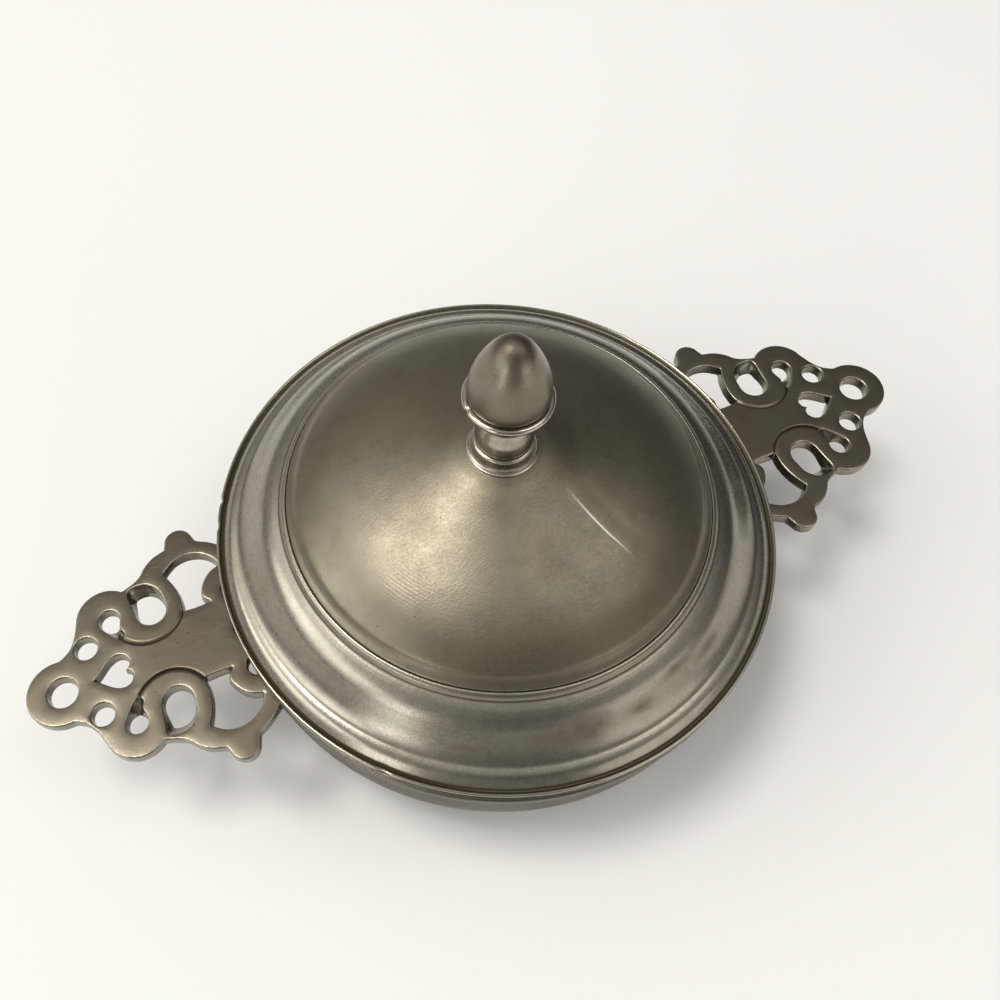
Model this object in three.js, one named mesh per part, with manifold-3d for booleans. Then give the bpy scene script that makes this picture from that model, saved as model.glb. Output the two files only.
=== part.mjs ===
// Lidded porringer: a shallow pewter bowl with two pierced ears, and a loose domed lid with an acorn finial.
// Millimetres, +Z up. The origin is the middle of the bowl's flat base, on the table, and the ears lie along X.
import * as THREE from "three";
import { mergeVertices } from "three/addons/utils/BufferGeometryUtils.js";
import Module from "manifold-3d";

const wasm = await Module();
wasm.setup();

// Space left between two pieces that are soldered together or rest on each other.
const seatGap = 0.3;

// Bowl
const bowlHeight = 46;
const baseRadius = 42;
const floorThickness = 2.2;
const collarRadius = 77;
const collarDepth = 14;
const bowlWall = 1.9;
const lipHeight = 2.6;
const lipOverhang = 1.5;
const lipRounding = 0.9;

// Ears, measured outward from the collar and sideways from the ear's middle line
const earThickness = 3.6;
const earSwing = 0.6;
const earReach = 59.7;
const tipRadius = 9.3;
const tipHoleRadius = 4.3;
const neckDip = 0.9;
const scrollReach = 33.8;
const scrollSpread = 16.6;
const scrollRadius = 8.4;
const waistDip = 1.2;
const dropHoleRadius = 3;
const dropHoleTail = 7.4;
const sideHoleReach = 41.5;
const sideHoleSpread = 10.1;
const sideHoleRadius = 3.3;
const heartReach = 36.7;
const heartLength = 10.4;
const heartWidth = 9.6;
const eyeReach = 23;
const eyeSpread = 16.1;
const eyeRadius = 4.4;
const eyeLength = 13;
const eyeSkew = 0.6;
const ribbonWidth = 4.7;
const rootGapCurve = [[0, 20.8], [2.4, 24.8], [8.2, 27.3], [15.8, 23.8]];
const rootGapScallop = [[5.6, 10.6], [7.2, 13.6], [5.3, 17.8], [0, 20.8]];
const creaseRadius = 11.4;
const creaseWidth = 1;
const creaseDepth = 0.6;
const knobReach = 8.9;
const knobSpread = 32.3;
const knobRadius = 3.8;
const rootSpread = 27.3;
const rootStart = 0.6;
const rootHoleReach = -1.2;
const rootHoleSpread = 12.4;
const rootHoleRadius = 3.1;
const bracketReach = 7;
const bracketDepth = 7;
const bracketWidth = 15;

// Lid, with heights above the underside of its rim and widths measured inward
const lidOverhang = 1.5;
const lidRimThickness = 2;
const lidRimWidth = 1.8;
const lidWall = 1.9;
const lidShift = [1.13, 1.92];
const borderWidth = 6.7;
const stepHeight = 4.6;
const hollowDepth = 2.4;
const hollowRise = 4;
const swellWidth = 4;
const slopeWidth = 12.3;
const shoulderHeight = 16;
const coveWidth = 2.7;
const creaseLineHeight = 17.7;
const beadHeight = 0.6;
const bossRadius = 9.7;
const bossHeight = 38.9;
const bossThickness = 3;
const bossRounding = 1;
const bezelDepth = 5.5;
const bezelWall = 1.6;
const bezelPlay = 0.45;

// Border between the lid's rim and its step, as distance inward and height above the rim
const borderMoulding = [[0, -0.5], [0.4, 0.4], [1.1, 0.7], [1.9, 1.4], [3.2, 1.7]];

// Bell curve of the dome, as shares of its run inward and of its rise
const domeShares = [[0.08, 0.19], [0.21, 0.36], [0.38, 0.51], [0.58, 0.64], [0.78, 0.78], [0.92, 0.91]];

// Finial
const footRingRadius = 7.6;
const footRingHeight = 4.4;
const neckRadius = 6.9;
const neckFlare = 1.6;
const neckStep = 0.3;
const finialCollarRadius = 11.4;
const finialCollarHeight = 22;
const finialCollarThickness = 1.9;
const acornRadius = 10.3;
const acornLength = 19.5;
const screwRadius = 2;
const screwGrip = 12;
const screwHeadRadius = 3.8;
const screwHeadHeight = 2.4;
const washerRadius = 5.5;
const washerThickness = 0.8;

// Outline of the acorn, as shares of its radius and of its length
const acornShares = [[0.96, 0.01], [1, 0.12], [0.93, 0.33], [0.76, 0.57], [0.5, 0.82], [0.22, 0.96], [0, 1]];

// Smoothness of the round pieces
const roundSteps = 56;
const smallRoundSteps = 28;

// Worked-out sizes
const lipRadius = collarRadius + lipOverhang;
const mouthRadius = collarRadius - bowlWall;
const earTop = bowlHeight - lipHeight - seatGap;
const earBottom = earTop - earThickness;
const lidRadius = lipRadius + lidOverhang;
const stepRadius = lidRadius - borderWidth;
const shoulderRadius = stepRadius - slopeWidth;
const creaseLineRadius = shoulderRadius - coveWidth;
const lidSeat = bowlHeight + seatGap;
const bezelRadius = mouthRadius - Math.hypot(...lidShift) - bezelPlay;
const screwHole = screwRadius + seatGap;
const cutDepth = earThickness + bracketDepth;
const overcut = 1;

const pewter = { color: 0x8a8473, roughness: 0.38, metalness: 1 };
const polishedPewter = { color: 0x9a9484, roughness: 0.26, metalness: 1 };
const brass = { color: 0xa88a4a, roughness: 0.4, metalness: 1 };

const porringer = new THREE.Group();

// Points along a circle between two angles in degrees, with both ends.
function arc(centre, radius, from, to, steps) {
  return Array.from({ length: steps + 1 }, (_, i) => {
    const angle = THREE.MathUtils.degToRad(from + ((to - from) * i) / steps);
    return [centre[0] + radius * Math.cos(angle), centre[1] + radius * Math.sin(angle)];
  });
}

// Points all the way round a circle, without a repeated end.
function circle(centre, radius, steps) {
  return arc(centre, radius, 0, 360, steps).slice(0, -1);
}

// Points on a smooth curve through a few given ones.
function smooth(points, steps) {
  const curve = new THREE.SplineCurve(points.map(([x, y]) => new THREE.Vector2(x, y)));
  return curve.getPoints(steps).map((point) => [point.x, point.y]);
}

// Solid of revolution about Z. The profile runs anticlockwise in radius and height.
function turned(profile, steps) {
  const points = profile.map(([radius, height]) => new THREE.Vector2(radius, height));
  return new THREE.LatheGeometry(points, steps).rotateX(Math.PI / 2);
}

// Prism on an outline, from the height z upward.
function prism(outline, height, z) {
  const shape = new THREE.Shape(outline.map(([x, y]) => new THREE.Vector2(x, y)));
  return new THREE.ExtrudeGeometry(shape, { depth: height, bevelEnabled: false }).translate(0, 0, z);
}

// Boolean solid from a three.js geometry, and back.
function solid(geometry) {
  const bare = geometry.clone();
  bare.deleteAttribute("normal");
  bare.deleteAttribute("uv");
  const merged = mergeVertices(bare, 1e-4);
  const vertProperties = new Float32Array(merged.attributes.position.array);
  const triVerts = new Uint32Array(merged.index.array);
  return new wasm.Manifold(new wasm.Mesh({ numProp: 3, vertProperties, triVerts }));
}

function geometryOf(body) {
  const mesh = body.getMesh();
  const geometry = new THREE.BufferGeometry();
  geometry.setAttribute("position", new THREE.BufferAttribute(mesh.vertProperties, 3));
  geometry.setIndex(new THREE.BufferAttribute(mesh.triVerts, 1));
  return geometry;
}

function addPiece(name, geometry, finish, parent) {
  const mesh = new THREE.Mesh(geometry, new THREE.MeshStandardMaterial(finish));
  mesh.name = name;
  parent.add(mesh);
}

// Bowl: a flat base, a quarter-ellipse belly, an upright collar and a rounded lip.
function bowlGeometry() {
  const bellyTop = bowlHeight - collarDepth;
  const bellySteps = 7;
  const belly = (inner, foot, edge) =>
    arc([0, 0], 1, 0, 90, bellySteps).map(([across, along]) => [
      inner + (edge - inner) * along,
      foot + (bellyTop - foot) * (1 - across),
    ]);
  const lipUnder = bowlHeight - lipHeight;
  const lip = [
    [collarRadius, lipUnder],
    [lipRadius - lipRounding, lipUnder],
    [lipRadius, lipUnder + lipRounding],
    ...arc([lipRadius - lipRounding, bowlHeight - lipRounding], lipRounding, 0, 90, 3),
    [mouthRadius + lipRounding / 2, bowlHeight],
    [mouthRadius, bowlHeight - lipRounding / 2],
  ];
  const outside = belly(baseRadius, 0, collarRadius);
  const inside = belly(baseRadius - bowlWall, floorThickness, mouthRadius).reverse();
  return turned([[0, 0], ...outside, ...lip, ...inside, [0, floorThickness]], roundSteps);
}

// Point between two others, moved by a dip towards the ear's root and middle line.
function between(from, to, [dipX, dipY]) {
  return [(from[0] + to[0]) / 2 + dipX, (from[1] + to[1]) / 2 + dipY];
}

// Half of the ear's outer edge, from the root to the tip, in the ear's own directions.
function earEdge() {
  const scroll = [scrollReach, scrollSpread];
  const tip = [earReach - tipRadius, 0];
  const knobFoot = knobSpread - knobRadius * 0.4;
  const innerNotch = [knobReach - knobRadius * 1.3, knobFoot];
  const outerNotch = [knobReach + knobRadius * 1.25, knobFoot];
  const [scrollNotch] = arc(scroll, scrollRadius, 128, 128, 1);
  const [scrollSide] = arc(scroll, scrollRadius, 5, 5, 1);
  const [tipSide] = arc(tip, tipRadius, 105, 105, 1);
  const waist = [outerNotch, between(outerNotch, scrollNotch, [waistDip, waistDip]), scrollNotch];
  const neck = [scrollSide, between(scrollSide, tipSide, [-neckDip, -neckDip]), tipSide];
  return [
    [-collarRadius / 4, rootSpread / 2],
    [-rootStart, rootSpread],
    innerNotch,
    ...arc([knobReach, knobSpread], knobRadius, 170, 10, 7),
    ...smooth(waist, 6),
    ...arc(scroll, scrollRadius, 110, 20, 6),
    ...smooth(neck, 4),
    ...arc(tip, tipRadius, 88, 0, 7),
  ];
}

// Opening between the ear's root and its scroll, with two points towards the bowl.
function rootOpening(side) {
  const scroll = arc([eyeReach, eyeSpread], eyeRadius + ribbonWidth, 148, 222, 5);
  const scallop = smooth(rootGapScallop, 8).slice(0, -1);
  return [...smooth(rootGapCurve, 7), ...scroll, ...scallop].map(([x, y]) => [x, y * side]);
}

// Long opening in the middle of a scroll, round towards the ear's middle line, with one square corner.
function eyeOpening(side) {
  const run = eyeLength / 2 - eyeRadius;
  const low = arc([eyeReach - eyeSkew, eyeSpread - run], eyeRadius, 180, 360, 8);
  const high = arc([eyeReach, eyeSpread + run], eyeRadius, 90, 180, 4);
  const corner = [eyeReach + eyeRadius, eyeSpread + run + eyeRadius];
  return [...low, corner, ...high].map(([x, y]) => [x, y * side]);
}

// Drop-shaped hole whose tail runs towards the crease.
function dropHole(side) {
  const round = arc([scrollReach, scrollSpread], dropHoleRadius, -30, 210, 12);
  const tail = [scrollReach - dropHoleRadius, scrollSpread - dropHoleTail];
  return [...round, tail].map(([x, y]) => [x, y * side]);
}

// Heart with its point towards the ear's tip.
function heart() {
  const steps = 22;
  return Array.from({ length: steps }, (_, i) => {
    const t = (2 * Math.PI * i) / steps;
    const along = 13 * Math.cos(t) - 4 * Math.cos(2 * t) - 1.5 * Math.cos(3 * t) - 0.5 * Math.cos(4 * t);
    const across = Math.sin(t) ** 3;
    return [heartReach - (heartLength * (along + 3)) / 26, (heartWidth / 2) * across];
  });
}

// Groove that parts a scroll from the flat middle of the ear.
function creaseGroove(side) {
  const centre = [eyeReach, eyeSpread];
  const half = creaseWidth / 2;
  const [from, to] = [216, 322];
  const ring = [
    ...arc(centre, creaseRadius + half, from, to, 12),
    ...arc(centre, creaseRadius - half, to, from, 12),
  ].map(([x, y]) => [x, y * side]);
  return prism(ring, creaseDepth + overcut, earThickness - creaseDepth);
}

// Wedge under the ear that carries it on the bowl's collar.
function bracketGeometry() {
  const wedge = [[-overcut, 0], [-overcut, -bracketDepth], [bracketReach, 0]];
  return prism(wedge, bracketWidth, -bracketWidth / 2).rotateX(Math.PI / 2);
}

// One ear, cast in one piece with its bracket. Its underside is at height 0 and the collar's face at 0 along X.
function earGeometry() {
  const half = earEdge();
  const mirrored = half.slice(0, -1).reverse().map(([x, y]) => [x, -y]);
  let ear = solid(prism([...half, ...mirrored], earThickness, 0));
  const discs = [
    [[earReach - tipRadius, 0], tipHoleRadius],
    ...[1, -1].map((side) => [[sideHoleReach, side * sideHoleSpread], sideHoleRadius]),
    ...[1, 0, -1].map((side) => [[rootHoleReach, side * rootHoleSpread], rootHoleRadius]),
  ];
  const openings = [
    ...discs.map(([centre, radius]) => circle(centre, radius, 24)),
    ...[1, -1].flatMap((side) => [rootOpening(side), eyeOpening(side), dropHole(side)]),
    heart(),
  ];
  for (const opening of openings) {
    ear = ear.subtract(solid(prism(opening, 2 * cutDepth, -cutDepth)));
  }
  for (const side of [1, -1]) {
    ear = ear.subtract(solid(creaseGroove(side)));
  }
  ear = ear.add(solid(bracketGeometry()));
  const wall = circle([-collarRadius, 0], collarRadius + seatGap, roundSteps);
  ear = ear.subtract(solid(prism(wall, 2 * cutDepth, -cutDepth)));
  return geometryOf(ear);
}

function addEar(name, turn) {
  const arm = new THREE.Group();
  arm.rotation.z = THREE.MathUtils.degToRad(turn);
  const ear = earGeometry().translate(collarRadius, 0, earBottom);
  addPiece(name, ear, pewter, arm);
  porringer.add(arm);
}

// Upper surface of the lid, from its rim inward, as radius and height.
function lidTop() {
  const rimRound = lidRimThickness / 2;
  const rim = arc([lidRadius - rimRound, rimRound], rimRound, -60, 90, 5);
  const border = borderMoulding.map(([inward, up]) => [
    lidRadius - lidRimWidth - inward,
    lidRimThickness + up,
  ]);
  const bead = [
    [creaseLineRadius + 1.7 * beadHeight, creaseLineHeight],
    [creaseLineRadius + beadHeight, creaseLineHeight + beadHeight],
    [creaseLineRadius, creaseLineHeight],
  ];
  const boss = [[bossRadius, bossHeight], [screwHole, bossHeight]];
  return [...rim, ...border, ...smooth(ogee(), 9), ...bead, ...dome(0), ...boss];
}

// Points of the S-shaped slope from the step up to the shoulder.
function ogee() {
  return [
    [stepRadius, stepHeight],
    [stepRadius - hollowDepth, stepHeight + hollowRise / 4],
    [stepRadius - 2 * hollowDepth, stepHeight + hollowRise],
    [shoulderRadius + swellWidth, shoulderHeight - swellWidth * 0.7],
    [shoulderRadius, shoulderHeight],
  ];
}

// Rise from the crease line to the boss under the finial, lowered by the given wall.
function dome(wall) {
  const rise = bossHeight - creaseLineHeight;
  const run = creaseLineRadius - bossRadius;
  return domeShares.map(([inward, up]) => [
    creaseLineRadius - inward * run,
    creaseLineHeight + up * rise - wall,
  ]);
}

// Underside of the lid, from the middle outward.
function lidUnderside() {
  const flat = bossHeight - bossThickness;
  const slope = ogee().reverse().map(([radius, height]) => [radius - lidWall / 4, height - lidWall]);
  return [
    [screwHole, flat],
    [bossRadius, flat],
    ...dome(lidWall).reverse().slice(1),
    ...slope,
    [stepRadius, 0],
    [lidRadius - lidRimThickness / 2, 0],
  ];
}

// Height of the lid's underside at a radius, which the ring below it follows.
function undersideAt(radius) {
  const points = lidUnderside();
  const next = points.findIndex((point) => point[0] >= radius);
  const [from, to] = [points[next - 1], points[next]];
  return from[1] + ((to[1] - from[1]) * (radius - from[0])) / (to[0] - from[0]);
}

function lidGeometry() {
  const profile = [...lidUnderside(), ...lidTop()];
  return turned([...profile, profile[0]], roundSteps);
}

// Ring under the lid that keeps it in the bowl's mouth.
function bezelGeometry() {
  const inner = bezelRadius - bezelWall;
  const topOuter = undersideAt(bezelRadius) - seatGap;
  const topInner = undersideAt(inner) - seatGap;
  const ring = [
    [inner, -bezelDepth],
    [bezelRadius, -bezelDepth],
    [bezelRadius, topOuter],
    [inner, topInner],
    [inner, -bezelDepth],
  ];
  return turned(ring, roundSteps);
}

// Finial's stem: a flared foot, a waisted neck and a thin disc under the acorn. Height 0 is its seat.
function stemGeometry() {
  const top = finialCollarHeight;
  const edge = finialCollarThickness / 2;
  const disc = arc([finialCollarRadius - edge, top - edge], edge, -90, 90, 5);
  const neck = smooth([
    [footRingRadius - neckStep, footRingHeight],
    [neckRadius, (footRingHeight + top) / 2],
    [neckRadius + neckFlare, top - finialCollarThickness],
  ], 6);
  const profile = [
    [screwHole, 0],
    [bossRadius - bossRounding, 0],
    [footRingRadius + bossRounding / 2, footRingHeight / 2],
    [footRingRadius, footRingHeight],
    ...neck,
    ...disc,
    [screwHole, top],
    [screwHole, 0],
  ];
  return turned(profile, smallRoundSteps);
}

// Acorn with a blind hole for the screw. Height 0 is its flat foot.
function acornGeometry() {
  const shape = smooth(acornShares.map(([across, up]) => [acornRadius * across, acornLength * up]), 11);
  const profile = [
    [0, screwGrip + seatGap],
    [screwHole, screwGrip + seatGap],
    [screwHole, 0],
    [acornRadius * 0.92, 0],
    ...shape,
  ];
  return turned(profile, smallRoundSteps);
}

// Screw from inside the lid, through the stem, into the acorn. Height 0 is the face under its head.
function screwGeometry(shankLength) {
  const tip = screwRadius / 2;
  const profile = [
    [0, -screwHeadHeight],
    [screwHeadRadius - tip / 2, -screwHeadHeight],
    [screwHeadRadius, -screwHeadHeight * 0.7],
    [screwHeadRadius, 0],
    [screwRadius, 0],
    [screwRadius, shankLength - tip],
    [screwRadius - tip, shankLength],
    [0, shankLength],
  ];
  return turned(profile, smallRoundSteps);
}

function washerGeometry() {
  const profile = [
    [screwHole, 0],
    [washerRadius, 0],
    [washerRadius, washerThickness],
    [screwHole, washerThickness],
    [screwHole, 0],
  ];
  return turned(profile, smallRoundSteps);
}

// Lid with its ring and finial, sitting on the lip a little to one side, as far as the ring's play lets it.
function addLid() {
  const cover = new THREE.Group();
  cover.position.set(lidShift[0], lidShift[1], lidSeat);
  addPiece("lid", lidGeometry(), pewter, cover);
  addPiece("lid_bezel", bezelGeometry(), pewter, cover);

  const stemFoot = bossHeight + seatGap;
  const acornFoot = stemFoot + finialCollarHeight + seatGap;
  addPiece("finial_stem", stemGeometry().translate(0, 0, stemFoot), polishedPewter, cover);
  addPiece("finial_acorn", acornGeometry().translate(0, 0, acornFoot), polishedPewter, cover);

  const washerFoot = bossHeight - bossThickness - seatGap - washerThickness;
  const headFace = washerFoot - seatGap;
  const shankLength = acornFoot + screwGrip - headFace;
  addPiece("finial_washer", washerGeometry().translate(0, 0, washerFoot), brass, cover);
  addPiece("finial_screw", screwGeometry(shankLength).translate(0, 0, headFace), brass, cover);
  porringer.add(cover);
}

addPiece("bowl", bowlGeometry(), pewter, porringer);
addEar("ear_right", earSwing);
addEar("ear_left", 180 - earSwing);
addLid();

export default porringer;
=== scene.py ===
"""Looks of the lidded porringer: turned and cast pewter, in metres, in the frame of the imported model."""
import math

import bmesh
import bpy
import numpy as np
from mathutils import Matrix, Vector, geometry, noise


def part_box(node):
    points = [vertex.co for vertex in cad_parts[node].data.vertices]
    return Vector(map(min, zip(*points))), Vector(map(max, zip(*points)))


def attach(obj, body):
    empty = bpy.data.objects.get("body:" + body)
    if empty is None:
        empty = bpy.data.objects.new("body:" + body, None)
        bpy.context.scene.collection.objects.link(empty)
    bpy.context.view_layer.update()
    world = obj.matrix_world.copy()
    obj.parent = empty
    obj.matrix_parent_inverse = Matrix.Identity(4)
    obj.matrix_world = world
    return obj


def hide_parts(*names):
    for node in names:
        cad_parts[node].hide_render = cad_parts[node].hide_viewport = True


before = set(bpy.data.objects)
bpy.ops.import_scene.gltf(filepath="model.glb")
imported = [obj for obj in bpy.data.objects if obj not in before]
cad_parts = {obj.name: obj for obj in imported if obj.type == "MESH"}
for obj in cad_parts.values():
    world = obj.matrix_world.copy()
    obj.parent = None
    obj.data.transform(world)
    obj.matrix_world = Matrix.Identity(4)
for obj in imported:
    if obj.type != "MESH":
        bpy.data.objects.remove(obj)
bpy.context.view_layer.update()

# Sizes below are in millimetres, and METRES turns them into the scene's unit.
METRES = 0.001


def cad_box_mm(node):
    """Lowest and highest corner of a CAD node, in millimetres."""
    low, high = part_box(node)
    return np.array(low) / METRES, np.array(high) / METRES


bowl_low, bowl_high = cad_box_mm("bowl")
lid_low, lid_high = cad_box_mm("lid")
bezel_low, bezel_high = cad_box_mm("lid_bezel")
stem_low, stem_high = cad_box_mm("finial_stem")
acorn_low, acorn_high = cad_box_mm("finial_acorn")
ear_low, ear_high = cad_box_mm("ear_right")

# Bowl
BOWL_AXIS = np.zeros(2)
BOWL_HEIGHT = bowl_high[2]
LIP_RADIUS = bowl_high[0]
LIP_OVERHANG = 1.5
LIP_HEIGHT = 2.6
LIP_ROUNDING = 0.9
COLLAR_RADIUS = LIP_RADIUS - LIP_OVERHANG
COLLAR_DEPTH = 14
BOWL_WALL = 1.9
BASE_RADIUS = 42
FLOOR_THICKNESS = 2.2

# Lid, with heights above the underside of its rim
LID_AXIS = (lid_low[:2] + lid_high[:2]) / 2
LID_SEAT = lid_low[2]
LID_RADIUS = lid_high[0] - LID_AXIS[0]
BOSS_HEIGHT = lid_high[2] - LID_SEAT
BOSS_RADIUS = 9.7
BOSS_THICKNESS = 3
CREASE_RADIUS = 58.3
CREASE_HEIGHT = 17.7
SHOULDER_RADIUS = 61
SHOULDER_HEIGHT = 16
LID_WALL = 1.9
RIM_HEIGHT = 2.0
RIM_LOW_ROUNDING = 0.9
RIM_HIGH_ROUNDING = 0.42
SCREW_HOLE = 2.3
BEZEL_WALL = 1.6
BEZEL_ROUNDING = 0.5

# Marks of use on the lid: places are an angle from the ears' line and a radius
DENT_PLACE = (283, 33)
DENT_TURN = 284
DENT_SIZE = (19, 12)
DENT_DEPTH = 1.1
RIDGE_PLACE = (299.5, 31)
RIDGE_TURN = 293
RIDGE_LENGTH = 27
RIDGE_BOW = 0.005
RIDGE_HEIGHT = 0.2
RIDGE_STEEP = 1.1
RIDGE_GENTLE = 5.5
LINES_PLACE = (211, 43)
LINES_REACH = 10
LINES_STEP = 0.85
LINES_HEIGHT = 0.006
RIM_CHIPS = [(224, 0.35, 1.3), (159, 0.4, 1.0), (153, 0.45, 0.8), (262, 0.15, 2.5), (30, 0.15, 2.0)]

# Dark blotches on the lid's slope: angle, radius, half its length round the lid and half its width
BLOTCHES = [
    (256, 68.8, 9, 2.6),
    (265, 67.6, 6, 3.2),
    (277, 68.6, 5, 1.4),
    (288, 66.4, 6, 1.0),
    (298, 68.5, 6, 1.2),
    (238, 70.4, 6, 1.4),
]

# Brown band in the rim's groove on its top: the groove's brown oxide, with painted shade and a painted
# dark reflection on the left side; middle angle, half its reach in degrees, radius and half its width
RIM_GROOVE_OXIDE_AND_SHADE = (188, 58, 78.65, 0.6)

# Finial
FOOT_RING_RADIUS = 7.6
FOOT_RING_HEIGHT = 4.4
NECK_RADIUS = 6.9
DISC_RADIUS = stem_high[0] - LID_AXIS[0]
DISC_THICKNESS = 1.9
DISC_NICK_ANGLE = 180
DISC_NICK_DEPTH = 0.6
ACORN_RADIUS = 10.3
ACORN_SINK = 0.25

# Ears, measured outward from the bowl's axis and sideways from the ear's middle line
EAR_TOP = ear_high[2]
EAR_THICKNESS = 3.6
EAR_SWING = 0.6
EAR_EDGE_ROUNDING = 0.38
EAR_BACK_ROUNDING = 0.4
EAR_CROWN = 0.1
EAR_POINT_SPACING = 0.5
EAR_GRID = 0.8
EAR_CREASE_DEPTH = 0.42
EAR_CREASE_WIDTH = 0.18
EAR_BEVEL_WIDTH = 0.75
EAR_DRAFT = 0.35

# Steps round the turned pieces
FINE_STEPS = 400
SMALL_STEPS = 160


def arc(centre, radius, start, end, steps):
    """Points along a circle between two angles in degrees, with both ends."""
    angles = np.radians(np.linspace(start, end, steps + 1))
    return [(centre[0] + radius * math.cos(a), centre[1] + radius * math.sin(a)) for a in angles]


def smooth(points, steps=6):
    """Points on a smooth curve through the given ones, with some steps between each two."""
    given = np.array(points, float)
    ends = np.vstack([2 * given[0] - given[1], given, 2 * given[-1] - given[-2]])
    made = []
    for i in range(len(given) - 1):
        a, b, c, d = ends[i:i + 4]
        for t in np.arange(steps) / steps:
            curve = 2 * b + (c - a) * t + (2 * a - 5 * b + 4 * c - d) * t**2
            curve = curve + (3 * b - a - 3 * c + d) * t**3
            made.append(tuple(curve / 2))
    made.append(tuple(given[-1]))
    return made


def dense(points, spacing):
    """The same line with extra points, so that no two neighbours lie further apart than the spacing."""
    made = [points[0]]
    for a, b in zip(points[:-1], points[1:]):
        pieces = max(1, math.ceil(math.dist(a, b) / spacing))
        for k in range(1, pieces + 1):
            share = k / pieces
            made.append((a[0] + (b[0] - a[0]) * share, a[1] + (b[1] - a[1]) * share))
    return made


def without_repeats(points, least=0.02):
    """The same line without points that lie on top of the one before."""
    made = [points[0]]
    for point in points[1:]:
        if math.dist(point, made[-1]) > least:
            made.append(point)
    return made


def run_along(line):
    """How far along a line each of its points lies."""
    return np.concatenate([[0], np.cumsum(np.linalg.norm(np.diff(line, axis=0), axis=1))])


def points_on(line, run, places):
    """Points on a line at the given distances along it."""
    return np.stack([np.interp(places, run, line[:, k]) for k in range(2)], axis=1)


def folds(profile, reach):
    """How far each point of a profile stands on an edge (towards 1) or lies in a crease (towards -1)."""
    line = np.array(profile, float)
    run = run_along(line)
    before = points_on(line, run, np.clip(run - reach, 0, run[-1]))
    after = points_on(line, run, np.clip(run + reach, 0, run[-1]))
    along = after - before
    outward = np.stack([along[:, 1], -along[:, 0]], axis=1)
    outward /= np.maximum(np.linalg.norm(outward, axis=1, keepdims=True), 1e-6)
    rise = np.einsum("ij,ij->i", line - (before + after) / 2, outward)
    return np.clip(3 * rise / reach, -1, 1)


def make_object(name, points, faces, fold=None):
    """An object from points in millimetres and faces, with the fold values kept for its material."""
    mesh = bpy.data.meshes.new(name)
    mesh.from_pydata((np.asarray(points) * METRES).tolist(), [], faces)
    if fold is not None:
        layer = mesh.attributes.new("fold", "FLOAT", "POINT")
        layer.data.foreach_set("value", np.asarray(fold, np.float32))
    mesh.polygons.foreach_set("use_smooth", [True] * len(mesh.polygons))
    mesh.validate()
    made = bpy.data.objects.new(name, mesh)
    bpy.context.scene.collection.objects.link(made)
    return made


def turned(name, profile, axis, steps, spacing=0.8, wear=None, dull=None):
    """A turned piece from its profile, which runs anticlockwise. Dull caps the fold values by height."""
    profile = without_repeats(dense(profile, spacing))
    ends_meet = math.dist(profile[0], profile[-1]) < 1e-6
    closed = ends_meet or profile[0][0] > 0.01
    if ends_meet:
        profile = profile[:-1]
    line = np.array(profile)
    fold = 0.88 * folds(profile, 0.4) + 0.12 * folds(profile, 2)
    if dull is not None:
        fold = np.minimum(fold, dull(line[:, 1]))
    angles = np.arange(steps) * 2 * np.pi / steps
    across, around = np.meshgrid(line[:, 0], angles)
    level = [axis[0] + across * np.cos(around), axis[1] + across * np.sin(around)]
    points = np.stack([*level, np.tile(line[:, 1], (steps, 1))], axis=2)
    if wear is not None:
        points = wear(points)
    count = len(line)
    start, turn = np.meshgrid(np.arange(count if closed else count - 1), np.arange(steps))
    start, turn = start.ravel(), turn.ravel()
    row, next_row = turn * count, (turn + 1) % steps * count
    next_start = (start + 1) % count
    faces = np.stack([row + start, next_row + start, next_row + next_start, row + next_start], axis=1)
    made = make_object(name, points.reshape(-1, 3), faces.tolist(), np.tile(fold, steps))
    if not closed:
        work = bmesh.new()
        work.from_mesh(made.data)
        bmesh.ops.remove_doubles(work, verts=work.verts, dist=1e-6)
        work.to_mesh(made.data)
        work.free()
    return made


def outward(points, axis):
    """Level unit vectors away from an upright axis."""
    away = points - np.array([*axis, 0])
    away[..., 2] = 0
    return away / np.maximum(np.linalg.norm(away, axis=-1, keepdims=True), 1e-6)


def raised(profile, height):
    """The same profile, moved up."""
    return [(radius, z + height) for radius, z in profile]


def soft_noise(points, size, seed):
    """Smooth noise from -1 to 1 at each point, with bumps of about the given size."""
    offset = Vector((seed * 17.3, seed * 5.1, seed * 9.7))
    flat = points.reshape(-1, 3) / size
    values = [noise.noise(Vector(point) + offset) for point in flat]
    return np.array(values).reshape(points.shape[:-1])


# Bowl

def bowl_profile():
    """Outside from the middle of the base to the lip, then the inside back to the middle."""
    belly_top = BOWL_HEIGHT - COLLAR_DEPTH

    def belly(foot_radius, foot, edge_radius):
        quarter = arc((0, 0), 1, 0, 90, 40)
        return [
            (foot_radius + (edge_radius - foot_radius) * along, foot + (belly_top - foot) * (1 - across))
            for across, along in quarter
        ]

    lip_under = BOWL_HEIGHT - LIP_HEIGHT
    mouth = COLLAR_RADIUS - BOWL_WALL
    edge = LIP_RADIUS - LIP_ROUNDING
    lip = [
        *arc((COLLAR_RADIUS + 0.3, lip_under - 0.3), 0.3, 180, 90, 3),
        *arc((edge, lip_under + LIP_ROUNDING), LIP_ROUNDING, -90, 0, 6),
        *arc((edge, BOWL_HEIGHT - LIP_ROUNDING), LIP_ROUNDING, 0, 90, 6),
        *arc((mouth + LIP_ROUNDING, BOWL_HEIGHT - LIP_ROUNDING), LIP_ROUNDING, 90, 180, 6),
    ]
    outside = belly(BASE_RADIUS, 0, COLLAR_RADIUS)
    inside = belly(BASE_RADIUS - BOWL_WALL, FLOOR_THICKNESS, mouth)
    return [(0, 0), *outside, *lip, *reversed(inside), (0, FLOOR_THICKNESS)]


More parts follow.
